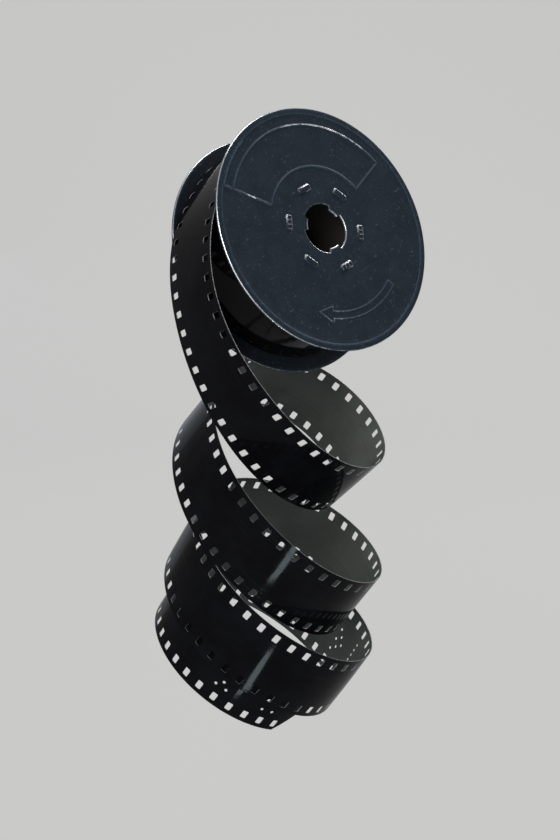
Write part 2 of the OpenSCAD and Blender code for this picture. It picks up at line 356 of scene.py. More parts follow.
class FilmStrip(Builder):
    """A perforated strip of film along the frames that frame_at gives."""

    def __init__(self, frame_at, low_edge, cup_from, dots):
        super().__init__()
        self.dots = dots
        self.frame_at = frame_at
        self.low_edge = low_edge
        self.cup_from = cup_from
        self.frames = {}
        self.known = {}

    def at(self, s, v, side):
        v = max(v, self.low_edge(s))
        key = (round(s, 3), round(v, 3), side)
        if key not in self.known:
            if key[0] not in self.frames:
                self.frames[key[0]] = self.frame_at(s)
            f = self.frames[key[0]]
            cup = FILM_CUP * (2 * v / FILM_W) ** 2 * eased((s - self.cup_from) / CUP_RISE_L)
            place = f.place + f.across * v + f.inward * (side * FILM_T / 2 + cup)
            self.known[key] = self.point(SPOOL_AXES @ place * MM, (s, v))
        return self.known[key]

    def patch(self, corners):
        """One polygon on each side of the film, from places given anticlockwise seen from outside."""
        base = list(dict.fromkeys(self.at(s, v, -1) for s, v in corners))
        emulsion = list(dict.fromkeys(self.at(s, v, 1) for s, v in corners))
        if len(base) > 2:
            self.face(base, BASE_SIDE)
            self.face(emulsion[::-1], EMULSION_SIDE)

    def wall(self, path):
        """The film's cut edge along a path, with the film on the path's left."""
        for a, b in zip(path, path[1:]):
            corners = (self.at(*a, -1), self.at(*a, 1), self.at(*b, 1), self.at(*b, -1))
            if len(set(corners)) == 4:
                self.face(corners, CUT_SIDE)

    def corner_arc(self, s, v, ds, dv):
        """Places on a perforation's rounded corner, from its side along the film to its side across."""
        centre_s, centre_v = s - ds * PERF_CORNER, v - dv * PERF_CORNER
        arc = []
        for i in range(PERF_CORNER_STEPS + 1):
            x, y = polar(PERF_CORNER, 90 * i / PERF_CORNER_STEPS)
            arc.append((centre_s + ds * y, centre_v + dv * x))
        return arc

    def perforation(self, start, first_col):
        """The rounded corners and the wall of one perforation."""
        s0, s1 = start + PERF_START, start + PERF_START + PERF_L
        v0, v1 = FILM_COLS[first_col], FILM_COLS[first_col + 3]
        loop = []
        for s, v, ds, dv in ((s0, v0, -1, -1), (s0, v1, -1, 1), (s1, v1, 1, 1), (s1, v0, 1, -1)):
            arc = self.corner_arc(s, v, ds, dv)
            fillet = [(s, v)] + arc
            self.patch(fillet if ds * dv > 0 else fillet[::-1])
            loop += arc if ds * dv > 0 else arc[::-1]
        self.wall(loop + loop[:1])

    def span(self, s0, s1, start, step):
        """The cells between two cross rows, and the film's edges there."""
        for j in range(len(FILM_COLS) - 1):
            if step in OPEN_STEPS and j in OPEN_SPANS and not self.cut_off(start, j):
                continue
            if j in MIDDLE_SPANS and self.dots_at(start):
                continue
            v0, v1 = FILM_COLS[j], FILM_COLS[j + 1]
            middle = (v0 + v1) / 2
            beside = j in MIDDLE_SPANS
            far = [(s1, middle)] if beside and self.dots_at(s1) else []
            near = [(s0, middle)] if beside and step == 0 and self.dots_at(s0 - PERF_PITCH) else []
            self.patch([(s0, v0), (s1, v0)] + far + [(s1, v1), (s0, v1)] + near)
        self.wall([(s0, FILM_COLS[0]), (s1, FILM_COLS[0])])
        self.wall([(s1, FILM_COLS[-1]), (s0, FILM_COLS[-1])])

    def cut_off(self, start, col):
        return col < 4 and self.low_edge(start + PERF_START) > -PERF_IN

    def dots_at(self, start):
        """The dotted cells of the pitch that starts at a place, or none where no pitch starts."""
        pitch = round(start / PERF_PITCH)
        return self.dots.get(pitch, []) if abs(start - pitch * PERF_PITCH) < 0.01 else []

    def dotted_middle(self, start):
        """The middle of a pitch that has punched dots, in small cells."""
        ds, dv = PERF_PITCH / DOT_CELLS_ALONG, 2 * PERF_IN / DOT_CELLS_ACROSS
        for i in range(DOT_CELLS_ALONG):
            for j in range(DOT_CELLS_ACROSS):
                s, v = start + i * ds, -PERF_IN + j * dv
                corners = [(s, v), (s + ds, v), (s + ds, v + dv), (s, v + dv)]
                between = [start + step for step in FILM_STEPS if s + 0.01 < start + step < s + ds - 0.01]
                if (i, j) in self.dots_at(start):
                    self.dot(corners, s + ds / 2, v + dv / 2)
                elif j == 0:
                    self.patch(corners[:1] + [(x, v) for x in between] + corners[1:])
                elif j == DOT_CELLS_ACROSS - 1:
                    self.patch(corners[:3] + [(x, v + dv) for x in between[::-1]] + corners[3:])
                else:
                    self.patch(corners)

    def dot(self, corners, s, v):
        """A round hole in the middle of a cell."""
        side = DOT_SIDES // 4
        ring = []
        for i in range(DOT_SIDES + 1):
            x, y = polar(DOT_R, 225 + 360 * i / DOT_SIDES)
            ring.append((s + x, v + y))
        for i in range(4):
            self.patch([corners[i], corners[(i + 1) % 4]] + ring[side * i:side * (i + 1) + 1][::-1])
        self.wall(ring[::-1])

    def end(self, s, last):
        path = [(s, v) for v in FILM_COLS]
        self.wall(path if last else path[::-1])

    def lay(self, first, last):
        """Lays the strip from one distance to another, on the perforations' rhythm."""
        rows = []
        for pitch in range(math.floor(first / PERF_PITCH), math.ceil(last / PERF_PITCH)):
            start = pitch * PERF_PITCH
            for step, ds in enumerate(FILM_STEPS):
                if first - 0.01 <= start + ds <= last + 0.01:
                    rows.append((start + ds, start, step))
        if abs(rows[-1][0] - last) > 0.01:
            rows.append((last, rows[-1][1], len(FILM_STEPS)))
        for (s0, start, step), (s1, _, _) in zip(rows, rows[1:]):
            self.span(s0, s1, start, step)
            if step == 0 and self.dots_at(start):
                self.dotted_middle(start)
            if step == 2 and s1 < last - PERF_L:
                for first_col in (1, 8):
                    if not self.cut_off(start, first_col):
                        self.perforation(start, first_col)
        self.end(rows[0][0], False)
        self.end(rows[-1][0], True)


# Flanges

def sheet_wave(x, y):
    """How far the flange's sheet bends out at a place."""
    r, a = math.hypot(x, y), math.atan2(y, x)
    return SHEET_WAVE * (r / FLANGE_R) ** 2 * (math.sin(2 * a + 0.6) + 0.5 * math.sin(3 * a + 2))


# Angle over which a key's side rises
KEY_SLOPE = 3


def hole_radius(angle, keys, first_key):
    """Radius of the drive hole, which its keys make smaller."""
    step = 360 / keys
    off = abs((angle - first_key + step / 2) % step - step / 2)
    half = math.degrees(math.asin(KEY_W / 2 / (BORE_R - KEY_H / 2)))
    return BORE_R - KEY_H * (1 - eased((off - half) / KEY_SLOPE + 0.5))


def head_depth(out, side):
    """How far a place lies inside the rounded outline of a tab's head, or less than 0 outside it."""
    x = abs(out) - (HEAD_L / 2 - HEAD_CORNER)
    y = abs(side) - (HEAD_W / 2 - HEAD_CORNER)
    return HEAD_CORNER - math.hypot(max(0, x), max(0, y)) - min(0, max(x, y))


def tab_dent(x, y, first_tab):
    """The sheet sinks a little round each staked tab."""
    depth = 0
    for i in range(TABS):
        a = math.radians(first_tab + i * 360 / TABS)
        out = x * math.cos(a) + y * math.sin(a) - HUB_MID_R
        side = y * math.cos(a) - x * math.sin(a)
        beyond = max(0, -head_depth(out, side))
        depth = max(depth, math.exp(-(beyond / DENT_REACH) ** 2))
    return DENT_H * depth


# A wear of INNER marks the faces towards the film, which are darker: painted shade between the flanges
INNER = -1
# Radius, height over the sheet's inner face and wear of each ring, from the hole out, over the rim
# and back. A radius under 1 is a part of the way from the hole to HOLE_BLEND_R.
HOLE_BLEND_R = 6.6
# The close rings that hold the dents round the tabs, and the radius where the wide ones begin
DENT_RINGS = 24
DENT_RING_STEP = 0.22
WIDE_RINGS_R = 12
RIM_FOOT = FLANGE_R - RIM_W - RIM_H
FLANGE_TOP = FLANGE_T + RIM_H
FLANGE_RINGS = (
    [(0, 0.05, 0.3), (0, FLANGE_T - 0.22, 0.75), (0.03, FLANGE_T - 0.12, 1), (0.07, FLANGE_T - 0.05, 1)]
    + [(0.12, FLANGE_T - 0.02, 0.7), (0.18, FLANGE_T, 0.2), (0.26, FLANGE_T, 0.05)]
    + [(0.4, FLANGE_T, 0), (0.7, FLANGE_T, 0)]
    + [(HOLE_BLEND_R + DENT_RING_STEP * i, FLANGE_T, 0) for i in range(DENT_RINGS)]
    + [(r, FLANGE_T, 0) for r in range(WIDE_RINGS_R, 24)]
    + [(RIM_FOOT, FLANGE_T, 0), (RIM_FOOT + 0.08, FLANGE_T + 0.03, 0)]
    + [(RIM_FOOT + 0.22, FLANGE_TOP - 0.03, 0.5), (RIM_FOOT + 0.32, FLANGE_TOP, 0.35)]
    + [(FLANGE_R - 0.7, FLANGE_TOP, 0), (FLANGE_R - 0.34, FLANGE_TOP - 0.01, 0.05)]
    + [(FLANGE_R - 0.22, FLANGE_TOP - 0.04, 0.4), (FLANGE_R - 0.12, FLANGE_TOP - 0.1, 0.9)]
    + [(FLANGE_R - 0.05, FLANGE_TOP - 0.18, 1), (FLANGE_R - 0.01, FLANGE_TOP - 0.27, 0.4)]
    + [(FLANGE_R, FLANGE_TOP - 0.36, 0.2), (FLANGE_R - 0.02, 0.14, 0.5)]
    + [(FLANGE_R - 0.1, 0.04, 1), (FLANGE_R - 0.2, 0, 0.4)]
    + [(FLANGE_R - 0.6, 0, INNER), (20, 0, INNER), (15, 0, INNER), (10, 0, INNER)]
    + [(HOLE_BLEND_R, 0, INNER), (0.3, 0, INNER), (0.02, 0, 0.5)]
)
SECTORS = 360
# How wide the rim's edge and the hole's edge are, and the painted highlight on each: the angle
# at which its wear is made brightest, and the share of that wear on its other side
RIM_EDGE = 0.5
RIM_HIGHLIGHT_AT = 125
RIM_HIGHLIGHT_LEAST = 0.62
HOLE_EDGE = 0.3
HOLE_HIGHLIGHT_AT = -90
HOLE_HIGHLIGHT_LEAST = 0.6


# Painted highlight: a share of an edge's wear, from least to all, that is most at one angle
def highlit_on_one_side(angle, highlight_at, least):
    return least + (1 - least) * eased(1 + math.cos(math.radians(angle - highlight_at)))


class Flange(Builder):
    """One flange in its own frame, with its outer face up; side is 1 in front and -1 behind."""

    def __init__(self, side, keys, first_key, first_tab):
        super().__init__()
        self.side = side
        self.first_tab = first_tab
        rings = [self.ring(r, z, wear_and_painted_light, keys, first_key) for r, z, wear_and_painted_light in FLANGE_RINGS]
        self.grid([ring[::-1] for ring in rings + rings[:1]], closed=True)

    def place(self, x, y, z):
        return in_spool(x, self.side * y, self.side * (FLANGE_GAP / 2 + z + sheet_wave(x, y)))

    def ring(self, r, z, wear_and_painted_light, keys, first_key):
        points = []
        for i in range(SECTORS):
            angle = 360 * i / SECTORS
            here = wear_and_painted_light
            # The rim's and hole's wear is raised on one side: a painted highlight where the light falls
            if r > FLANGE_R - RIM_EDGE:
                here *= highlit_on_one_side(self.side * angle, RIM_HIGHLIGHT_AT, RIM_HIGHLIGHT_LEAST)
            elif r < HOLE_EDGE:
                here *= highlit_on_one_side(self.side * angle, HOLE_HIGHLIGHT_AT, HOLE_HIGHLIGHT_LEAST)
            if r < 1:
                hole = hole_radius(angle, keys, first_key)
                ring_r = hole + (HOLE_BLEND_R - hole) * r
            else:
                ring_r = r
            x, y = polar(ring_r, angle)
            dent = tab_dent(x, y, self.first_tab) if z == FLANGE_T and 1 < r < WIDE_RINGS_R else 0
            points.append(self.point(self.place(x, y, z - dent), (x, y), here))
        return points

    def bead(self, line, width, height, closed=True):
        """A rounded bead along a line of flat places, each with its own wear, which holds painted highlights
        in places.
        """
        last = len(line) - 1
        rows = []
        for i, (x, y, wear_and_painted_light) in enumerate(line):
            before = line[i - 1] if closed or i > 0 else line[0]
            after = line[(i + 1) % len(line)] if closed or i < last else line[last]
            run = Vector((after[0] - before[0], after[1] - before[1])).normalized()
            row = []
            for j in range(-BEAD_SIDE_STEPS, BEAD_SIDE_STEPS + 1):
                off = j / BEAD_SIDE_STEPS * (width / 2 + BEAD_SKIRT)
                crest = (1 + math.cos(math.pi * j / BEAD_SIDE_STEPS)) / 2
                px, py = x - run.y * off, y + run.x * off
                place = self.place(px, py, FLANGE_T + height * crest - BEAD_SINK)
                row.append(self.point(place, (px, py), wear_and_painted_light * crest))
            row.append(self.point(self.place(x, y, FLANGE_T - BEAD_ROOT)))
            rows.append(row[::-1])
        self.grid(rows + rows[:1] if closed else rows, closed=True)
        if not closed:
            self.face(rows[0][::-1])
            self.face(rows[-1])


# Places on the front flange where the raised marks are worn bright, which along the top arc are painted
# highlights as well: place, reach and amount
WORN_AND_HIGHLIT_PLACES = [
    ((-3, 21.5), 2.2, 0.38),
    ((3, 21.5), 3, 0.38),
    ((8, 20), 3, 0.35),
    ((13, 17.5), 3.5, 0.25),
    ((-16.5, 7), 1.6, 0.35),
    ((-4, -18.8), 4, 0.15),
]
BEAD_WEAR = 0.5
EAR_R = 24.0
EAR_FROM = 128
BEAD_STEP = 0.35
BEAD_SIDE_STEPS = 4
# How much wider each side of a bead's foot is, and how far the foot lies under the sheet's face
BEAD_SKIRT = 0.1
BEAD_SINK = 0.01
# How far a head's edge goes under the sheet's face, and how far under it the beads and heads are closed
HEAD_SINK = 0.1
BEAD_ROOT = 0.15
HEAD_ROOT = 0.25


def with_wear_and_highlight(points):
    """Adds to each flat place how worn the bead is there, with the painted highlights of the worn places."""
    worn = []
    for x, y in points:
        extra = sum(amount * math.exp(-math.dist((x, y), place) ** 2 / reach**2)
                    for place, reach, amount in WORN_AND_HIGHLIT_PLACES)
        worn.append((x, y, BEAD_WEAR + extra))
    return worn


def arc(r, start, end):
    steps = max(2, round(abs(end - start) * math.pi / 180 * r / BEAD_STEP))
    return [polar(r, start + (end - start) * i / steps) for i in range(steps + 1)]


def straight(a, b):
    """Places between two corners, without the corners."""
    steps = max(2, round(math.dist(a, b) / BEAD_STEP))
    return [(a[0] + (b[0] - a[0]) * i / steps, a[1] + (b[1] - a[1]) * i / steps) for i in range(1, steps)]


def panel_outline():
    outer = arc(PANEL_R_OUT, PANEL_FROM, PANEL_TO)
    inner = arc(PANEL_R_IN, PANEL_TO, PANEL_FROM)
    return with_wear_and_highlight(outer + straight(outer[-1], inner[0]) + inner + straight(inner[-1], outer[0]))


def panel_ear():
    """The panel's left side runs on to the rim, and a little way along it."""
    side = straight(polar(PANEL_R_OUT, PANEL_TO), polar(EAR_R, PANEL_TO))
    return with_wear_and_highlight(side + arc(EAR_R, PANEL_TO, EAR_FROM))


def arrow_outline():
    def place(along, out):
        return polar(ARROW_R + out, ARROW_TIP + math.degrees(along / ARROW_R))

    head_end = ARROW_TIP + math.degrees(ARROW_HEAD_L / ARROW_R)
    tip = place(0, 0)
    inner_barb, outer_barb = place(ARROW_HEAD_L, -ARROW_HEAD_W / 2), place(ARROW_HEAD_L, ARROW_HEAD_W / 2)
    inner = arc(ARROW_R - ARROW_W / 2, head_end, ARROW_TAIL)
    outer = arc(ARROW_R + ARROW_W / 2, ARROW_TAIL, head_end)
    path = [tip] + straight(tip, inner_barb) + [inner_barb] + straight(inner_barb, inner[0]) + inner
    path += straight(inner[-1], outer[0]) + outer
    path += straight(outer[-1], outer_barb) + [outer_barb] + straight(outer_barb, tip)
    return with_wear_and_highlight(path[::-1])


# Hub

HUB_HALF = FLANGE_GAP / 2
# How far the last row of the tube's mesh lies from its end
HUB_END_ROW = 0.13
# Wear of a head's edge, how much more or less it is on its two sides as a painted highlight, and how far up
# it reaches
HEAD_WEAR = 0.65
HEAD_HIGHLIGHT_SWING = 0.22
HEAD_WEAR_FROM = 0.4
HEAD_WEAR_TO = 0.93


class Hub(Builder):
    """A rolled tube with a slit, whose tabs are bent over the flanges and pressed flat."""

    TUBE_STEPS = 96
    LENGTH_STEPS = [-HUB_HALF, HUB_END_ROW - HUB_HALF, -4, 0, 4, HUB_HALF - HUB_END_ROW, HUB_HALF]

    def __init__(self):
        super().__init__()
        self.tube()
        for side, first_tab in ((1, TAB_ANGLE), (-1, -TAB_ANGLE)):
            for i in range(TABS):
                self.tab(side, first_tab + i * 360 / TABS, TOOTH_BITES[i])

    def tube(self):
        half_slit = math.degrees(SLIT_W / 2 / HUB_MID_R)
        whole = 360 - 2 * half_slit
        sweep = [half_slit + whole * i / self.TUBE_STEPS for i in range(self.TUBE_STEPS + 1)]
        outer, inner = [], []
        for r, rows in ((HUB_R, outer), (HUB_R - HUB_WALL, inner)):
            for z in self.LENGTH_STEPS:
                row = []
                for a in sweep:
                    x, y = polar(r, SLIT_ANGLE + a)
                    row.append(self.point(in_spool(x, y, z), (a, z)))
                rows.append(row)
        self.grid(outer)
        self.grid([row[::-1] for row in inner], surface=1)
        self.grid([inner[0], outer[0]])
        self.grid([outer[-1], inner[-1]])
        self.grid([[row[0] for row in outer], [row[0] for row in inner]])
        self.grid([[row[-1] for row in inner], [row[-1] for row in outer]])

    def tab(self, side, angle, bite):
        """A tab's head: a rounded pad with pressed teeth, over the flange."""
        out_steps, side_steps = 20, 44
        a = math.radians(angle)
        rows = []
        for i in range(out_steps + 1):
            row = []
            for j in range(side_steps + 1):
                out, across = (i / out_steps - 0.5) * HEAD_L, (j / side_steps - 0.5) * HEAD_W
                pad = math.sin(math.pi / 2 * min(1, max(0, head_depth(out, across) / HEAD_ROUND)))
                notch = (1 + math.cos(2 * math.pi * HEAD_TEETH * across / HEAD_W)) / 2
                height = (HEAD_H - TOOTH_H * bite * notch) * pad - HEAD_SINK * (1 - pad)
                # The edge's wear swings round the head: a painted highlight on the side that the light falls
                # on
                towards = math.atan2(across / HEAD_W, out / HEAD_L) + a - math.radians(HEAD_HIGHLIGHT_AT)
                edge = HEAD_WEAR + HEAD_HIGHLIGHT_SWING * math.cos(towards)
                edge *= eased(pad / HEAD_WEAR_FROM) * (1 - eased((pad - HEAD_WEAR_TO) / (1 - HEAD_WEAR_TO)))
                ridge = TOOTH_WEAR * (1 - notch) ** 3 * min(1, 0.5 + bite / 2) * pad
                x = HUB_MID_R + out
                px, py = x * math.cos(a) - across * math.sin(a), x * math.sin(a) + across * math.cos(a)
                z = HUB_HALF + FLANGE_T + height + sheet_wave(px, py)
                row.append(self.point(in_spool(px, side * py, side * z), (px, py), max(edge, ridge)))
            rows.append(row)
        self.grid([row[::-1] for row in rows])
        x, y = polar(HUB_MID_R, angle)
        root = self.point(in_spool(x, side * y, side * (HUB_HALF + FLANGE_T - HEAD_ROOT)))
        right = [row[-1] for row in rows[1:-1]]
        left = [row[0] for row in rows[-2:0:-1]]
        border = rows[0] + right + rows[-1][::-1] + left
        for here, beyond in zip(border, border[1:] + border[:1]):
            self.face((here, beyond, root))


# Materials

def add(tree, kind, inputs=None, **settings):
    """A shader node with its settings and its inputs, each a value or another node's output."""
    node = tree.nodes.new("ShaderNode" + kind)
    for name, value in settings.items():
        setattr(node, name, value)
    for key, value in (inputs or {}).items():
        if isinstance(value, bpy.types.NodeSocket):
            tree.links.new(value, node.inputs[key])
        else:
            node.inputs[key].default_value = value
    return node


def calc(tree, operation, a, b=0.0):
    return add(tree, "Math", {0: a, 1: b}, operation=operation).outputs[0]


def stepped(tree, value, low, high, to_low=0.0, to_high=1.0):
    """Smoothly from one value to another as the input passes from low to high."""
    ranges = {"Value": value, "From Min": low, "From Max": high, "To Min": to_low, "To Max": to_high}
    return add(tree, "MapRange", ranges, interpolation_type="SMOOTHSTEP").outputs["Result"]


def mixed(tree, factor, a, b):
    node = add(tree, "Mix", data_type="RGBA")
    for index, value in ((0, factor), (6, a), (7, b)):
        if isinstance(value, bpy.types.NodeSocket):
            tree.links.new(value, node.inputs[index])
        else:
            node.inputs[index].default_value = value
    return node.outputs[2]


def noise(tree, vector, scale, detail=3.0, roughness=0.55):
    inputs = {"Vector": vector, "Scale": scale, "Detail": detail, "Roughness": roughness}
    return add(tree, "TexNoise", inputs).outputs[0]


def stretched(tree, vector, scale, turn=0.0):
    """Coordinates that are turned in their plane and then scaled along each axis."""
    turned = add(tree, "Mapping", {"Vector": vector, "Rotation": (0, 0, math.radians(turn))})
    return add(tree, "Mapping", {"Vector": turned.outputs[0], "Scale": scale}).outputs[0]


def new_material(name):
    """A material with its tree and its Principled shader."""
    material = bpy.data.materials.new(name)
    material.use_nodes = True
    tree = material.node_tree
    shader = tree.nodes["Principled BSDF"]
    return material, tree, shader


def object_mm(tree):
    place = add(tree, "TexCoord").outputs["Object"]
    return add(tree, "VectorMath", {0: place, 1: (1000, 1000, 1000)}, operation="MULTIPLY").outputs[0]


def finish_shader(tree, shader, colour, roughness, height, metallic=None, gloss=0.5, bump=0.3, bump_mm=0.05):
    """Links a material's channels; gloss is the shader's specular level."""
    shader.inputs["Specular IOR Level"].default_value = gloss
    tree.links.new(colour, shader.inputs["Base Color"])
    tree.links.new(roughness, shader.inputs["Roughness"])
    if metallic is not None:
        tree.links.new(metallic, shader.inputs["Metallic"])
    relief = add(tree, "Bump", {"Strength": bump, "Distance": bump_mm * MM, "Height": height})
    tree.links.new(relief.outputs[0], shader.inputs["Normal"])


# How far the scratches' pattern is stretched, and how rare they are, from 0 to 1
SCRATCH_SCALE = (0.05, 2.2, 1)
SCRATCH_RARITY = 0.70


def scratches(tree, vector, turns):
    """Fine straight scratches in several directions: 1 on a scratch and 0 off it."""
    total = None
    for turn in turns:
        lines = noise(tree, stretched(tree, vector, SCRATCH_SCALE, turn), 1.6, 2.0, 0.4)
        cut = stepped(tree, lines, SCRATCH_RARITY, SCRATCH_RARITY + 0.03)
        total = cut if total is None else calc(tree, "MAXIMUM", total, cut)
    return total


def shaded(colour, share):
    """A colour made darker or lighter, with its alpha."""
    return tuple(c * share for c in colour) + (1,)


def enamel(name, colour, worn_colour):
    """Dark enamel on sheet metal, mottled, scratched, and worn through at the edges, with painted highlights
    on one side of the edges and painted shade on the faces towards the film.
    """
    material, tree, shader = new_material(name)
    mm = object_mm(tree)
    wear_and_painted_light = add(tree, "Attribute", attribute_name="wear_and_painted_light").outputs["Fac"]
    cloud = noise(tree, mm, 0.22, 4.0)
    grain = noise(tree, mm, 3.2, 4.0, 0.65)
    chips = noise(tree, mm, 1.5, 5.0, 0.7)
    lines = scratches(tree, mm, (12, 71, 128))
    specks = stepped(tree, noise(tree, mm, 2.4, 2.0, 0.3), 0.75, 0.79)
    # The wear attribute holds painted highlights as well as real wear, so the bare and rubbed metal here
    # stands for both
    ragged = calc(tree, "ADD", wear_and_painted_light, calc(tree, "MULTIPLY", chips, 0.9))
    bare_and_highlit = stepped(tree, ragged, 1.04, 1.2)
    rubbed_and_highlit = stepped(tree, ragged, 0.5, 1.05)
    paint = mixed(tree, stepped(tree, cloud, 0.3, 0.7), shaded(colour, 0.84), shaded(colour, 1.18))
    paint = mixed(tree, stepped(tree, grain, 0.35, 0.75, 0.0, 0.35), paint, shaded(colour, 1.9))
    # Painted shade: the faces towards the film, marked INNER, are mixed towards near-black
    inner = stepped(tree, wear_and_painted_light, INNER, 0.2 * INNER, 0.6, 0.0)
    paint = mixed(tree, inner, paint, (0.0015, 0.0017, 0.002, 1))
    marks = calc(tree, "MAXIMUM", calc(tree, "MULTIPLY", lines, 0.25), calc(tree, "MULTIPLY", specks, 0.13))
    paint = mixed(tree, marks, paint, (0.20, 0.22, 0.25, 1))
    paint = mixed(tree, calc(tree, "MULTIPLY", rubbed_and_highlit, 0.75), paint, shaded(colour, 4))
    surface = mixed(tree, bare_and_highlit, paint, worn_colour + (1,))
    rough = stepped(tree, noise(tree, mm, 0.9, 3.0), 0.3, 0.7, 0.4, 0.46)
    rough = calc(tree, "SUBTRACT", rough, calc(tree, "MULTIPLY", bare_and_highlit, 0.16))
    height = calc(tree, "SUBTRACT", grain, calc(tree, "MULTIPLY", lines, 0.6))
    height = calc(tree, "SUBTRACT", height, calc(tree, "MULTIPLY", bare_and_highlit, 0.5))
    metallic = calc(tree, "MULTIPLY", bare_and_highlit, 0.9)
    finish_shader(tree, shader, surface, rough, height, metallic=metallic, gloss=0.15)
    return material


def plated_steel(name, colour, dirt):
    """Dull plated sheet, grimed in its dents, bright where it is rubbed, and brighter on one side of each
    head's edge as a painted highlight.
    """
    material, tree, shader = new_material(name)
    mm = object_mm(tree)
    wear_and_painted_light = add(tree, "Attribute", attribute_name="wear_and_painted_light").outputs["Fac"]
    grain = noise(tree, mm, 4.0, 4.0, 0.65)
    rubbed_and_highlit = stepped(tree, calc(tree, "ADD", wear_and_painted_light, calc(tree, "MULTIPLY", grain, 0.8)), 0.85, 1.25)
    surface = mixed(tree, rubbed_and_highlit, dirt + (1,), colour + (1,))
    rough = calc(tree, "SUBTRACT", 0.62, calc(tree, "MULTIPLY", rubbed_and_highlit, 0.3))
    metallic = calc(tree, "ADD", 0.2, calc(tree, "MULTIPLY", rubbed_and_highlit, 0.75))
    finish_shader(tree, shader, surface, rough, grain, metallic=metallic, gloss=0.15, bump=0.4)
    return material


def film_place(tree):
    return add(tree, "UVMap", uv_map="place").outputs[0]


def film_base(name):
    """The film's glossy outer side: near-black, with rub marks along its length."""
    material, tree, shader = new_material(name)
    place = film_place(tree)
    streaks = noise(tree, stretched(tree, place, (0.012, 1.1, 1)), 2.2, 4.0, 0.6)
    hairs = stepped(tree, noise(tree, stretched(tree, place, (0.02, 3.2, 1)), 2.6, 2.0, 0.4), 0.68, 0.74)
    cloud = noise(tree, object_mm(tree), 0.12, 3.0)
    dark, light = (0.0045, 0.0045, 0.0058, 1), (0.008, 0.0085, 0.011, 1)
    surface = mixed(tree, stepped(tree, cloud, 0.3, 0.75), dark, light)
    surface = mixed(tree, calc(tree, "MULTIPLY", hairs, 0.5), surface, (0.05, 0.052, 0.058, 1))
    rough = stepped(tree, streaks, 0.25, 0.8, 0.05, 0.11)
    rough = calc(tree, "ADD", rough, calc(tree, "MULTIPLY", hairs, 0.15))
    height = calc(tree, "SUBTRACT", streaks, calc(tree, "MULTIPLY", hairs, 0.5))
    finish_shader(tree, shader, surface, rough, height, gloss=0.05, bump=0.12, bump_mm=0.02)
    return material


def film_emulsion(name):
    """The film's matte inner side: grey, a little green, with faint clouds."""
    material, tree, shader = new_material(name)
    place = film_place(tree)
    cloud = noise(tree, object_mm(tree), 0.09, 3.0)
    streaks = noise(tree, stretched(tree, place, (0.015, 0.9, 1)), 2.0, 4.0, 0.6)
    grain = noise(tree, place, 5.0, 3.0, 0.7)
    dark, light = (0.118, 0.134, 0.123, 1), (0.163, 0.183, 0.168, 1)
    surface = mixed(tree, stepped(tree, cloud, 0.3, 0.7), dark, light)
    surface = mixed(tree, stepped(tree, streaks, 0.4, 0.8, 0.0, 0.5), surface, (0.10, 0.113, 0.104, 1))
    rough = stepped(tree, streaks, 0.3, 0.8, 0.42, 0.52)
    height = calc(tree, "ADD", grain, streaks)
    finish_shader(tree, shader, surface, rough, height, gloss=0.25, bump=0.15, bump_mm=0.02)
    return material


CUT_TINT = (1, 1, 1.05)


def film_cut(name, dark, pale):
    """The film's slit and punched edges, mottled between a dark and a pale grey; a much darker copy paints
    shade on the slack turn's edges.
    """
    material, tree, shader = new_material(name)
    mm = object_mm(tree)
    grain = noise(tree, mm, 2.5, 3.0)
    low, high = shaded(CUT_TINT, dark), shaded(CUT_TINT, pale)
    surface = mixed(tree, stepped(tree, grain, 0.35, 0.65), low, high)
    rough = stepped(tree, grain, 0.3, 0.7, 0.3, 0.45)
    finish_shader(tree, shader, surface, rough, grain, bump=0.2, bump_mm=0.02)
    return material


def wound_film(name):
    """The tight winding: its edges lie as fine rings, one for each turn."""
    material, tree, shader = new_material(name)
    mm = object_mm(tree)
    axis = SPOOL_AXES.col[2]
    along = add(tree, "VectorMath", {0: mm, 1: tuple(axis)}, operation="DOT_PRODUCT").outputs["Value"]
    whole = add(tree, "VectorMath", {0: mm}, operation="LENGTH").outputs["Value"]
    whole_square = calc(tree, "MULTIPLY", whole, whole)
    along_square = calc(tree, "MULTIPLY", along, along)
    squares = calc(tree, "SUBTRACT", whole_square, along_square)
    radius = calc(tree, "SQRT", calc(tree, "MAXIMUM", squares, 0))
    jitter = calc(tree, "MULTIPLY", noise(tree, mm, 0.3, 3.0), 0.5)
    turns = calc(tree, "MULTIPLY", calc(tree, "ADD", radius, jitter), 1 / FILM_T)
    rings = calc(tree, "PINGPONG", turns, 1.0)
    grain = noise(tree, mm, 1.4, 4.0)
    surface = mixed(tree, stepped(tree, rings, 0.2, 0.9), (0.008, 0.008, 0.01, 1), (0.045, 0.046, 0.05, 1))
    surface = mixed(tree, stepped(tree, grain, 0.5, 0.8, 0.0, 0.4), surface, (0.02, 0.02, 0.022, 1))
    rough = stepped(tree, grain, 0.3, 0.7, 0.2, 0.35)
    finish_shader(tree, shader, surface, rough, rings, gloss=0.2, bump=0.25, bump_mm=0.03)
    return material


def seen_directly(tree):
    """1 for what the camera sees, and a part of that for a reflection or a view through glass."""
    path = add(tree, "LightPath").outputs
    glossy_or_glass = calc(tree, "MAXIMUM", path["Is Glossy Ray"], path["Is Transmission Ray"])
    in_gloss = calc(tree, "MULTIPLY", glossy_or_glass, SHOWN_IN_GLOSS)
    return calc(tree, "MAXIMUM", path["Is Camera Ray"], in_gloss)


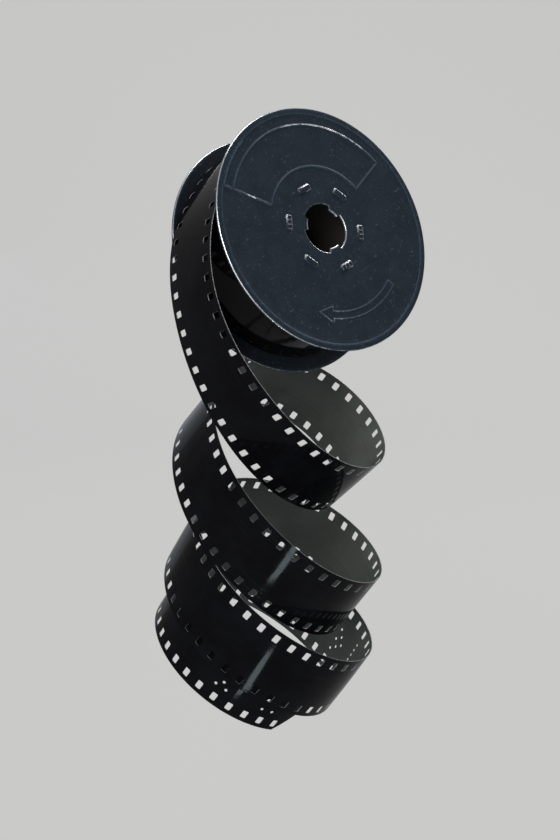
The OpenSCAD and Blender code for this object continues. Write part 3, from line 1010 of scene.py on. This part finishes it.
def stage_surface(name, seen, glowing, reflected):
    """A plain pale surface that lights the object less than it shows to the camera and in reflections."""
    material = bpy.data.materials.new(name)
    material.use_nodes = True
    tree = material.node_tree
    tree.nodes.remove(tree.nodes["Principled BSDF"])
    shown = seen_directly(tree)
    shade = add(tree, "BsdfDiffuse", {"Color": seen + (1,)})
    glow = add(tree, "Emission", {"Color": glowing + (1,)})
    pale = add(tree, "AddShader", {0: shade.outputs[0], 1: glow.outputs[0]})
    dim = add(tree, "BsdfDiffuse", {"Color": reflected + (1,)})
    both = add(tree, "MixShader", {0: shown, 1: dim.outputs[0], 2: pale.outputs[0]})
    tree.links.new(both.outputs[0], tree.nodes["Material Output"].inputs["Surface"])
    return material


# Making the pieces

def make_spool(slate, steel, dark_steel):
    front = Flange(1, 3, KEY_ANGLE, TAB_ANGLE)
    front.bead(panel_outline(), BEAD_W, BEAD_H)
    front.bead(panel_ear(), BEAD_W, BEAD_H, closed=False)
    front.bead(arrow_outline(), ARROW_BEAD_W, ARROW_BEAD_H)
    rear = Flange(-1, 4, -KEY_ANGLE, -TAB_ANGLE)
    for builder, name, node in ((front, "front_flange_sheet", "front_flange"),
                                (rear, "rear_flange_sheet", "rear_flange")):
        piece = builder.build(name, [slate])
        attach(piece, "spool")
        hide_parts(node)
    hub = Hub().build("hub_tube", [steel, dark_steel])
    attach(hub, "spool")
    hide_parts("hub")


def make_film():
    base, emulsion = film_base("film_base"), film_emulsion("film_emulsion")
    loose = FilmStrip(loose_frame, loose_low_edge, CUP_FROM, DOTS)
    loose.lay(-LEAD_L, LOOSE_L)
    piece = loose.build("loose_film", [base, emulsion, film_cut("film_cut", 0.18, 0.46)])
    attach(piece, "film")
    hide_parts("free_film")
    turn = FilmStrip(turn_frame, straight_low_edge, math.inf, {})
    turn_l = math.radians(TURN_ANGLE + TURN_END) * (TURN_R + SLACK_RISE / 2)
    first = PERF_START / 2 - math.ceil(turn_l / PERF_PITCH) * PERF_PITCH
    turn.lay(first, -PERF_START / 2)
    # The slack turn's edges take a much darker copy of the cut material: painted shade between the flanges
    piece = turn.build("slack_turn", [base, emulsion, film_cut("film_cut_shaded", 0.01, 0.03)])
    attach(piece, "spool")
    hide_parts("outer_turn")


def dress_node(name, material):
    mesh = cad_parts[name].data
    mesh.materials.clear()
    mesh.materials.append(material)


# Colours of the stage: its paint and its glow as they are seen, and its paint as it lights the object
STAGE_SEEN = (0.22, 0.22, 0.215)
STAGE_GLOW = (0.42, 0.42, 0.418)
STAGE_LIT = (0.12, 0.12, 0.125)
WORLD_SEEN = (0.52, 0.52, 0.52)
WORLD_LIT = (0.05, 0.053, 0.058)


def make_stage():
    steps = 24
    section = [(FLOOR_FRONT, FLOOR_Z)]
    for i in range(steps + 1):
        x, z = polar(SWEEP_R, -90 + 90 * i / steps)
        section.append((FLOOR_BACK - SWEEP_R + x, FLOOR_Z + SWEEP_R + z))
    section.append((FLOOR_BACK, SWEEP_TOP))
    floor = Builder()
    rows = []
    for y, z in section:
        rows.append([floor.point(Vector((x, y, z))) for x in (-FLOOR_HALF_W, FLOOR_HALF_W)])
    floor.grid([row[::-1] for row in rows])
    surface = stage_surface("stage_paper", STAGE_SEEN, STAGE_GLOW, STAGE_LIT)
    floor.build("floor_sweep", [surface])


def make_world(seen, lit):
    world = bpy.data.worlds.new("studio")
    world.use_nodes = True
    tree = world.node_tree
    background = tree.nodes["Background"]
    tree.links.new(mixed(tree, seen_directly(tree), lit + (1,), seen + (1,)), background.inputs["Color"])
    bpy.context.scene.world = world


def new_lamp(name, size, power, colour):
    """An area lamp that the camera doesn't see."""
    light = bpy.data.lights.new(name, "AREA")
    light.shape = "RECTANGLE"
    light.size, light.size_y = size
    light.energy = power
    light.color = colour
    lamp = bpy.data.objects.new(name, light)
    lamp.visible_camera = False
    bpy.context.scene.collection.objects.link(lamp)
    return lamp


def area_light(name, place, target, size, power, colour):
    lamp = new_lamp(name, size, power, colour)
    lamp.location = place
    aim = Vector(target) - Vector(place)
    lamp.rotation_euler = aim.to_track_quat("-Z", "Y").to_euler()


# Name, place, what it is aimed at, width and height, power in watts, and colour; in metres
LIGHTS = [
    ("back_right", (0.50, 0.55, 0.52), (0, 0, 0), (0.2, 0.2), 1.5, (1.0, 1.0, 1.0)),
    ("side_right", (0.72, -0.10, 0.52), (0, 0, -0.02), (0.7, 0.7), 0.30, (0.85, 0.93, 1.0)),
    ("front", (-0.30, -0.88, 0.45), (0, 0, -0.03), (0.5, 0.5), 5.0, (1.0, 0.99, 0.97)),
    ("behind_left", (-0.45, 0.75, -0.08), (0, 0, -0.06), (0.5, 0.35), 0.14, (0.62, 0.8, 1.0)),
    ("low_fill", (-0.25, -0.75, -0.12), (0, 0, -0.06), (0.6, 0.3), 0.8, (1.0, 0.98, 0.94)),
    ("right_low", (0.50, -0.42, -0.02), (0, 0, -0.07), (0.25, 0.25), 0.55, (1.0, 1.0, 0.98)),
    ("top", (0.0, 0.25, 0.80), (0, 0, 0), (0.6, 0.3), 1.4, (1.0, 1.0, 1.0)),
    ("backdrop_wash", (0.0, 0.35, 1.1), (0, 1.0, 0.2), (1.2, 0.3), 8.0, (1.0, 1.0, 1.0)),
]
# A narrow lamp low in front, from one end to the other, draws the bright streaks across the film's turns
STRIP_START = Vector((-0.025, -0.139, -0.17))
STRIP_END = Vector((-0.029, -0.107, -0.17))
STRIP_AIM = Vector((0, -0.02, -0.07))
STRIP_W = 0.012
STRIP_POWER = 0.025
STRIP_COLOUR = (0.76, 0.94, 1.0)


def strip_light():
    """The narrow lamp between its two ends, turned to face the film."""
    line = STRIP_END - STRIP_START
    lamp = new_lamp("strip_0", (STRIP_W, line.length), STRIP_POWER, STRIP_COLOUR)
    middle = (STRIP_START + STRIP_END) / 2
    long_side = line.normalized()
    wide_side = long_side.cross((middle - STRIP_AIM).normalized()).normalized()
    back = wide_side.cross(long_side)
    turned = Matrix((wide_side, long_side, back)).transposed().to_4x4()
    lamp.matrix_world = Matrix.Translation(middle) @ turned


def make_camera():
    data = bpy.data.cameras.new("photo_camera")
    data.lens = CAMERA_LENS
    data.sensor_width = CAMERA_SENSOR
    data.clip_start = 0.01
    data.clip_end = 10
    camera = bpy.data.objects.new("photo_camera", data)
    camera.location = CAMERA_PLACE
    camera.rotation_euler = (math.radians(CAMERA_TILT), 0, 0)
    bpy.context.scene.collection.objects.link(camera)
    bpy.context.scene.camera = camera


make_camera()
make_stage()
make_world(WORLD_SEEN, WORLD_LIT)
for light in LIGHTS:
    area_light(*light)
strip_light()
make_spool(
    enamel("slate_enamel", (0.0148, 0.0242, 0.0362), (0.66, 0.67, 0.68)),
    plated_steel("tab_steel", (0.50, 0.52, 0.54), (0.018, 0.028, 0.040)),
    plated_steel("hub_inside", (0.22, 0.20, 0.18), (0.042, 0.037, 0.034)),
)
make_film()
dress_node("film_pack", wound_film("wound_film"))
bpy.context.scene.view_settings.view_transform = "Standard"
